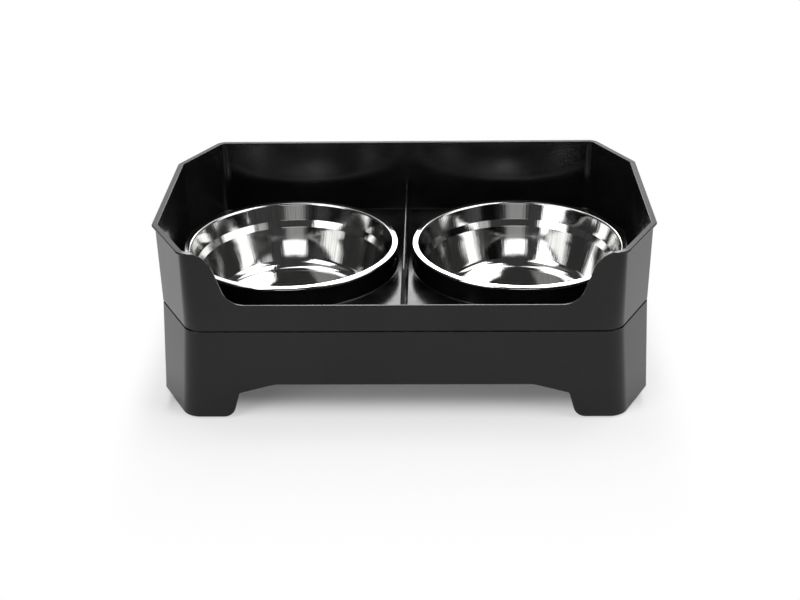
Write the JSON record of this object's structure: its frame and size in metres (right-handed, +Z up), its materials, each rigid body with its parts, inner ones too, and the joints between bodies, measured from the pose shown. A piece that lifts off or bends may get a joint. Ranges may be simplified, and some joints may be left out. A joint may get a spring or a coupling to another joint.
{
  "type": "dog bowl stand",
  "caption": "Raised pet feeder: a high-walled splash tray with drop-in steel bowls, a low front and a divider, nested on a legged base that catches spills.",
  "frame": {"origin": "on the floor under the middle of the stand, at the underside of the rubber pads", "axes": "+X to the stand's right as a dog facing it sees it, +Y to the high back wall, +Z up"},
  "size_m": [0.42, 0.2566, 0.153],
  "materials": {
    "tray_plastic": "polished black moulding",
    "base_plastic": "satin black moulding",
    "bowl_steel": "mirror-polished stainless sheet",
    "foot_rubber": "matt black rubber"
  },
  "bodies": {
    "base": {"base": "base_plastic", "foot_front_left": "foot_rubber", "foot_front_right": "foot_rubber", "foot_back_left": "foot_rubber", "foot_back_right": "foot_rubber"},
    "tray": {"splash_tray": "tray_plastic"},
    "bowl_left": {"bowl_left": "bowl_steel"},
    "bowl_right": {"bowl_right": "bowl_steel"}
  },
  "joints": [
    {"name": "tray_lift", "type": "slide", "parent": "base", "child": "tray", "axis": [0, 0, 1], "range_m": [0, 0.07]},
    {"name": "bowl_left_lift", "type": "slide", "parent": "tray", "child": "bowl_left", "axis": [0, 0, 1], "range_m": [0, 0.11]},
    {"name": "bowl_right_lift", "type": "slide", "parent": "tray", "child": "bowl_right", "axis": [0, 0, 1], "range_m": [0, 0.11]}
  ]
}
